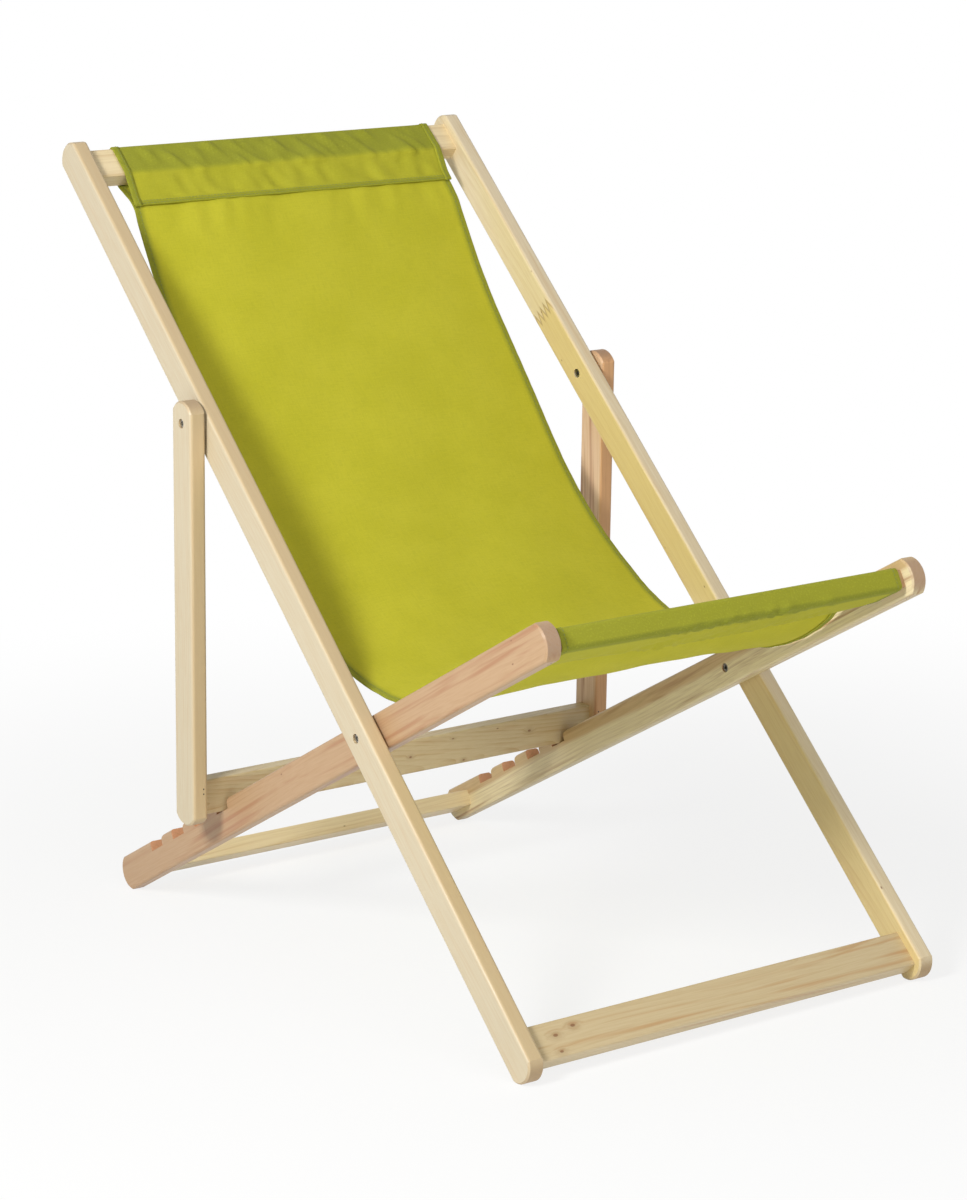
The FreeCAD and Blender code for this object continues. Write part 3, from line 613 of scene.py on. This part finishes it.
def hem_profile():
    """The cloth from its left raw edge to its right one as (sideways, depth, flat distance). Depth
    goes to the side that the hems are turned to."""
    half = SLING_WIDTH / 2
    fold = HEM_DEPTH / 2
    inner = half - HEM_WIDTH
    stitched, near_fold = -half + HEM_STITCH_INSET, -half + 3 * MM
    left = [(-inner, HEM_DEPTH), (stitched, HEM_DEPTH), (near_fold, HEM_DEPTH)]
    for turn in range(0, 181, 45):
        angle = math.radians(turn)
        left.append((-half + fold - fold * math.sin(angle), fold + fold * math.cos(angle)))
    left += [(near_fold, 0), (stitched, 0)]
    columns = round(2 * inner / COLUMN_SPACING)
    middle = [(-inner + 2 * inner * step / columns, 0) for step in range(columns + 1)]
    right = [(-sideways, depth) for sideways, depth in reversed(left)]
    outline = left + middle + right
    flat = [0.0]
    for (x, z), (next_x, next_z) in zip(outline, outline[1:]):
        flat.append(flat[-1] + math.hypot(next_x - x, next_z - z))
    return [(x, z, distance) for (x, z), distance in zip(outline, flat)]


CREASE_SIDE_FADE = 25 * MM
NOISE_RIDGE = 1.8
NOISE_SLICES = 1e4
ONE_SIDED_LIFT = 0.1
ONE_SIDED_GAIN = 1.5
# Painted shade on the hems, where the second layer keeps light from coming through.
HEM_PAINTED_SHADE = 0.85


class Crease:
    """A patch of wrinkles: where it starts and ends along the cloth and over what length it fades,
    its left and right limits, the spacing and length of its ridges, their lean in degrees, and
    their height. All but the first three and the lean are in millimetres. Ridges stand out on one
    side only where one_sided is set."""

    def __init__(self, start, end, fade_over, left, right, spacing, length, lean, height,
                 one_sided=False):
        self.reach = (start, end, fade_over)
        self.sides = (left * MM, right * MM, CREASE_SIDE_FADE)
        self.size = (spacing * MM / NOISE_RIDGE, length * MM / NOISE_RIDGE)
        self.turn = math.radians(lean)
        self.height = height * MM
        self.one_sided = one_sided

    def depth(self, along, sideways):
        strength = window(along, *self.reach) * window(sideways, *self.sides)
        if not strength:
            return 0.0
        across = math.cos(self.turn) * sideways + math.sin(self.turn) * along
        down = math.sin(self.turn) * sideways - math.cos(self.turn) * along
        # A patch's height also picks the slice of the noise that it is cut from.
        slice_at = self.height * NOISE_SLICES
        ridge = noise.noise(Vector((across / self.size[0], down / self.size[1], slice_at)))
        if self.one_sided:
            ridge = max(0.0, ridge + ONE_SIDED_LIFT) * ONE_SIDED_GAIN
        return ridge * self.height * strength


def wrinkles(at):
    """The patches, from the upper flap round to the front seam, and the puckers of both hems."""
    full, hem_from, hem_to = 235, 225, 295
    seams = (at["top_seam_fold"], at["front_seam_fold"], 10 * MM)
    return [
        Crease(at["flap_bend"] - 4 * MM, at["board_top_front"] - 7 * MM, 5 * MM,
               -185, 200, 22, 75, 36, 5.0, one_sided=True),
        Crease(at["top_seam_fold"] + 14 * MM, at["flap_bend"] - 16 * MM, 11 * MM,
               -180, 200, 30, 80, 30, 4.6),
        Crease(at["panel_top"] + 6 * MM, at["panel_top"] + 24 * MM, 40 * MM,
               -170, 190, 36, 160, 4, 2.0),
        Crease(at["upper_panel"] - 100 * MM, at["seat"], 120 * MM,
               -full, full, 190, 420, 12, 3.0),
        Crease(at["seat"] - 60 * MM, at["panel_end"] - 20 * MM, 50 * MM,
               -full, full, 46, 240, 58, 1.6),
        Crease(at["panel_end"] + 8 * MM, at["front_board_back"] - 4 * MM, 8 * MM,
               -full, full, 34, 120, 0, 0.9),
        Crease(at["roll_foot"], at["sleeve_slack"] + 16 * MM, 9 * MM,
               -90, 130, 9, 90, 64, -2.8, one_sided=True),
        Crease(at["sleeve_slack"], at["front_seam_fold"] - 8 * MM, 16 * MM,
               -full, full, 40, 160, 25, -2.0),
        Crease(*seams, -hem_to, -hem_from, 26, 60, 90, 0.5),
        Crease(*seams, hem_from, hem_to, 26, 60, 90, 0.5),
    ]


def painted_shades(at):
    """Painted shade on the cloth as (strength, from, to, fade): where boards, other layers and
    seams lie behind it and keep light from coming through, and a painted shadow under the front
    roll.
    """
    return [
        (0.8, at["flap_bend"] + 3 * MM, at["board_foot_back"], 11 * MM),
        (0.2, at["top_seam_fold"], at["panel_top"], 4 * MM),
        (0.7, at["front_board_back"], at["roll_foot"] + 5 * MM, 9 * MM),
        # A painted shadow along the foot of the front roll, where the cloth turns under the board.
        (1.0, at["roll_foot"] - 1 * MM, at["roll_foot"] + 9 * MM, 6 * MM),
        (0.25, at["panel_end"], at["front_seam_fold"], 5 * MM),
        (0.75, at["top_turned_edge"], at["top_seam_fold"] + SEAM_TURN - 1 * MM, 0.8 * MM),
        (1.0, at["front_seam_fold"] - SEAM_TURN + 1 * MM, at["front_turned_edge"], 0.8 * MM),
    ]


class Cloth:
    """The sling's shape: grid[row][column] is a point on the middle of the canvas, lengths[row]
    how far along the cloth it lies, and at[name] how far along each corner of the side line
    does."""

    def __init__(self):
        hem_line, counts, marks = side_path(sling_corners(SLING_SAG, 1 * MM))
        middle_line = side_path(sling_corners(SLING_SAG - SLING_CROWN, 6 * MM), counts)[0]
        self.lengths = lengths_along(hem_line)
        self.profile = hem_profile()
        self.at = at = {name: self.lengths[row] for name, row in marks.items()}
        self.creases = wrinkles(at)
        self.painted_shades = painted_shades(at)
        self.grid = []
        for row, (hem, middle) in enumerate(zip(hem_line, middle_line)):
            previous, following = max(row - 1, 0), min(row + 1, len(hem_line) - 1)
            directions = [(line[following] - line[previous]).normalized()
                          for line in (hem_line, middle_line)]
            along = self.lengths[row]
            shift = TOP_SHIFT * (1 - smooth_step(along, at["panel_top"] - TOP_SHIFT_LEAD,
                                                 at["seat"]))
            shift += PANEL_SHIFT * window(along, at["panel_top"] + 30 * MM, at["seat"], 30 * MM)
            self.grid.append([self.point(hem, middle, directions, along, shift, column)
                              for column in self.profile])

    def point(self, hem, middle, directions, along, shift, column):
        at = self.at
        sideways, depth, _ = column
        edge = abs(sideways / (SLING_WIDTH / 2)) ** CROWN_POWER
        direction = directions[1].lerp(directions[0], edge)
        outwards = Vector((0, -direction.z, direction.y)).normalized()
        pulled_up = PULL + PULL_AT_SEAT * smooth_step(along, at["belly"], at["seat"])
        pulled_up *= window(along, at["upper_panel"], at["seat"], PULL_FADE)
        depth += sum(crease.depth(along, sideways) for crease in self.creases) - pulled_up
        gathered = 1 - window(along, at["panel_top"] + GATHER_FADE, at["panel_end"] - GATHER_FADE,
                              GATHER_FADE)
        sideways *= 1 - GATHER * gathered
        return middle.lerp(hem, edge) + outwards * depth + Vector((sideways + shift, 0, 0))

    def painted_shade(self, along, sideways):
        """The cloth's painted shade: how far something behind it keeps light from coming through
        it, and the painted shadow under the front roll.
        """
        hem_edge = SLING_WIDTH / 2 - HEM_WIDTH
        hem = HEM_PAINTED_SHADE * smooth_step(abs(sideways), hem_edge - 0.5 * MM, hem_edge + 0.5 * MM)
        return max(hem, *(strength * window(along, *reach) for strength, *reach in self.painted_shades))

    def column_at(self, sideways, depth):
        """The column nearest to a place across the cloth. Being on the layer at that depth counts
        ten times as much as the distance."""
        return min(range(len(self.profile)),
                   key=lambda index: abs(self.profile[index][0] - sideways)
                   + 10 * abs(self.profile[index][1] - depth))

    def row_points(self, along):
        """Points across the cloth's main layer, from fold to fold, that far along it."""
        row = next(index for index in range(1, len(self.lengths)) if self.lengths[index] >= along)
        share = (along - self.lengths[row - 1]) / (self.lengths[row] - self.lengths[row - 1])
        edge = SLING_WIDTH / 2 - 1 * MM
        first, last = (self.column_at(sideways, 0) for sideways in (-edge, edge))
        return [self.grid[row - 1][column].lerp(self.grid[row][column], share)
                for column in range(first, last + 1)]


def make_canvas_piece(cloth, material):
    rows, columns = len(cloth.grid) - 1, len(cloth.profile) - 1
    mesh = bmesh.new()
    bmesh.ops.create_grid(mesh, x_segments=columns, y_segments=rows, size=0.5)
    cut = mesh.loops.layers.uv.new("cut")
    painted_shade = mesh.verts.layers.float.new("painted_shade")
    places = {}
    for vertex in mesh.verts:
        places[vertex] = (round((vertex.co.y + 0.5) * rows), round((vertex.co.x + 0.5) * columns))
    for vertex, (row, column) in places.items():
        vertex.co = cloth.grid[row][column]
        # Painted shade, kept on each point for the canvas's colour.
        vertex[painted_shade] = cloth.painted_shade(cloth.lengths[row], cloth.profile[column][0])
    for face in mesh.faces:
        face.smooth = True
        for loop in face.loops:
            row, column = places[loop.vert]
            loop[cut].uv = (cloth.profile[column][2], cloth.lengths[row])
    piece = finish_piece("sling_canvas", mesh, material)
    solid = piece.modifiers.new("thickness", "SOLIDIFY")
    solid.thickness = CANVAS_THICKNESS
    solid.offset = 0
    return piece


def finish_piece(name, mesh, material):
    data = bpy.data.meshes.new(name)
    mesh.to_mesh(data)
    mesh.free()
    data.materials.append(material)
    piece = bpy.data.objects.new(name, data)
    bpy.context.scene.collection.objects.link(piece)
    return piece


def sew(mesh, stitch, line, upper):
    """Stitches along a line of points on the canvas. upper says for each point which way its face
    looks."""
    half_thread = THREAD_WIDTH / 2
    stitch_at = STITCH_PITCH
    walked = 0.0
    for (first, second), normal in zip(zip(line, line[1:]), upper):
        step = second - first
        while walked + step.length >= stitch_at:
            place = first + step * ((stitch_at - walked) / step.length)
            forward = step.normalized()
            sideways = normal.cross(forward).normalized()
            lie = Matrix((sideways * half_thread, normal * half_thread,
                          forward * (STITCH_LENGTH / 2)))
            centre = place + normal * (CANVAS_THICKNESS / 2 + THREAD_RISE)
            laid = stitch.copy()
            laid.transform(Matrix.Translation(centre) @ lie.transposed().to_4x4())
            mesh.from_mesh(laid)
            bpy.data.meshes.remove(laid)
            stitch_at += STITCH_PITCH
        walked += step.length


def one_stitch():
    """A ball, to be stretched. Blender lists its faces in another order each run, so they are
    sorted, each from its lowest corner on."""
    ball = bmesh.new()
    bmesh.ops.create_uvsphere(ball, u_segments=6, v_segments=4, radius=1)
    ball.verts.index_update()
    faces = []
    for face in ball.faces:
        corners = [vertex.index for vertex in face.verts]
        start = corners.index(min(corners))
        faces.append(corners[start:] + corners[:start])
    stitch = bpy.data.meshes.new("stitch")
    stitch.from_pydata([vertex.co for vertex in ball.verts], [], sorted(faces))
    for polygon in stitch.polygons:
        polygon.use_smooth = True
    ball.free()
    return stitch


def make_stitches(cloth, material):
    """Lockstitch along both hems and both cross seams, seen on both faces of the cloth."""
    stitch = one_stitch()
    mesh = bmesh.new()
    grid = cloth.grid
    for side in (-1, 1):
        for depth, face in ((0, -1), (HEM_DEPTH, 1)):
            column = cloth.column_at(side * (SLING_WIDTH / 2 - HEM_STITCH_INSET), depth)
            line = [row[column] for row in grid]
            upper = []
            for first, second in zip(line, line[1:]):
                direction = second - first
                upper.append(Vector((0, -direction.z, direction.y)).normalized() * face)
            sew(mesh, stitch, line, upper)
    at = cloth.at
    rows = []
    for inset in SEAM_STITCH_INSETS:
        rows += [(at["top_seam_fold"] + inset, 1),
                 (at["panel_top"] + SEAM_TURN / 2 - inset, 1),
                 (at["front_seam_fold"] - inset, 1),
                 (at["panel_end"] - SEAM_TURN / 2 + inset, -1)]
    for along, face in rows:
        line, ahead = cloth.row_points(along), cloth.row_points(along + 0.5 * MM)
        upper = [((beyond - here).cross(after - here)).normalized() * -face
                 for here, beyond, after in zip(line, ahead, line[1:])]
        sew(mesh, stitch, line, upper)
    bpy.data.meshes.remove(stitch)
    return finish_piece("sling_stitches", mesh, material)


# The studio. The camera was fitted to the photo, in degrees, and in pixels of its 1200 rows.

CAMERA_FROM_PIVOT = Vector((-2165.0, -3008.3, 916.4)) * MM
CAMERA_YAW = 34.44
CAMERA_PITCH = 11.213
CAMERA_ROLL = -1.4105
FOCAL_PIXELS = 3406.9
PICTURE_HEIGHT = 1200
LENS_CENTRE_ROW = 541.5
SENSOR = 36

WORLD_LIGHT = 0.26
LIGHTS_AIM = (0, 0, 0.45)

# The floor is seen as plain white by this much at its middle, up to the first distance, and wholly
# from the second one on.
WHITE_SHARE = 0.82
WHITE_FROM = 0.5
WHITE_BY = 1.9
FLOOR_REACH = 30


def make_camera():
    data = bpy.data.cameras.new("camera")
    data.sensor_fit = "VERTICAL"
    data.sensor_height = SENSOR
    data.lens = FOCAL_PIXELS / PICTURE_HEIGHT * SENSOR
    data.shift_y = (LENS_CENTRE_ROW - PICTURE_HEIGHT / 2) / PICTURE_HEIGHT
    camera = bpy.data.objects.new("camera", data)
    bpy.context.scene.collection.objects.link(camera)
    yaw, pitch, roll = (math.radians(angle) for angle in (CAMERA_YAW, CAMERA_PITCH, CAMERA_ROLL))
    ahead = Vector((math.sin(yaw) * math.cos(pitch), math.cos(yaw) * math.cos(pitch),
                    -math.sin(pitch)))
    level = Vector((math.cos(yaw), -math.sin(yaw), 0))
    up = level.cross(ahead)
    right = level * math.cos(roll) + up * math.sin(roll)
    top = up * math.cos(roll) - level * math.sin(roll)
    turn = Matrix((right, top, -ahead)).transposed()
    camera.matrix_world = Matrix.Translation(main_pivot + CAMERA_FROM_PIVOT) @ turn.to_4x4()
    bpy.context.scene.camera = camera


def seen_directly(tree):
    """1 for rays from the camera, mirrored ones and those through glass, which see the plain
    backdrop."""
    rays = add(tree, "ShaderNodeLightPath").outputs
    seen = combined(tree, "MAXIMUM", rays["Is Camera Ray"], rays["Is Glossy Ray"])
    return combined(tree, "MAXIMUM", seen, rays["Is Transmission Ray"])


def make_floor():
    """White paper. It keeps the chair's soft shadow, and further out it is seen as plain white."""
    mesh = bmesh.new()
    bmesh.ops.create_grid(mesh, x_segments=1, y_segments=1, size=FLOOR_REACH)
    material, tree, shader = new_material("floor_paper")
    plug(tree, shader, {"Base Color": linear("#F6F6F4"), "Roughness": 0.9,
                        "Specular IOR Level": 0.0})
    floor = finish_piece("floor", mesh, material)
    plain = ramp(tree, length(tree, coordinates(tree)), WHITE_FROM, WHITE_BY, WHITE_SHARE, 1.0)
    plain = combined(tree, "MULTIPLY", plain, seen_directly(tree))
    white = add(tree, "ShaderNodeEmission", {"Color": linear("#FFFFFF"), "Strength": 1.0})
    both = add(tree, "ShaderNodeMixShader",
               {0: plain, 1: shader.outputs[0], 2: white.outputs[0]})
    output = next(node for node in tree.nodes if node.type == "OUTPUT_MATERIAL")
    tree.links.new(both.outputs[0], output.inputs[0])


def add_light(name, place, size, power):
    data = bpy.data.lights.new(name, "AREA")
    data.shape = "RECTANGLE"
    data.size, data.size_y = size
    data.energy = power
    light = bpy.data.objects.new(name, data)
    bpy.context.scene.collection.objects.link(light)
    light.location = place
    direction = Vector(LIGHTS_AIM) - Vector(place)
    light.rotation_mode = "QUATERNION"
    light.rotation_quaternion = direction.to_track_quat("-Z", "Y")


def make_world():
    world = bpy.data.worlds.new("studio")
    bpy.context.scene.world = world
    world.use_nodes = True
    tree = world.node_tree
    tree.nodes.clear()
    light, backdrop = (add(tree, "ShaderNodeBackground",
                           {"Color": linear("#FFFFFF"), "Strength": strength}).outputs[0]
                       for strength in (WORLD_LIGHT, 1.0))
    both = add(tree, "ShaderNodeMixShader", {0: seen_directly(tree), 1: light, 2: backdrop})
    output = add(tree, "ShaderNodeOutputWorld")
    tree.links.new(both.outputs[0], output.inputs[0])


def make_studio():
    make_camera()
    make_floor()
    make_world()
    add_light("key", (-2.6, -0.95, 2.05), (0.8, 0.8), 79)
    add_light("front", (-0.5, -3.0, 0.9), (2.0, 1.6), 22)
    add_light("top", (0.6, 0.4, 3.2), (2.6, 2.6), 5)


dress_frame()
cloth = Cloth()
sling = make_canvas_piece(cloth, canvas())
stitches = make_stitches(cloth, clouded("sewing_thread", 1.1 * MM, ("#6C7836", "#939E58"), 0.6))
for piece in (sling, stitches):
    long_side.at(0, 0.30, 0)
    seat_side.at(0, 0.18, 0)
    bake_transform(piece)
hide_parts("sling")
make_studio()
bpy.context.scene.view_settings.view_transform = "Standard"
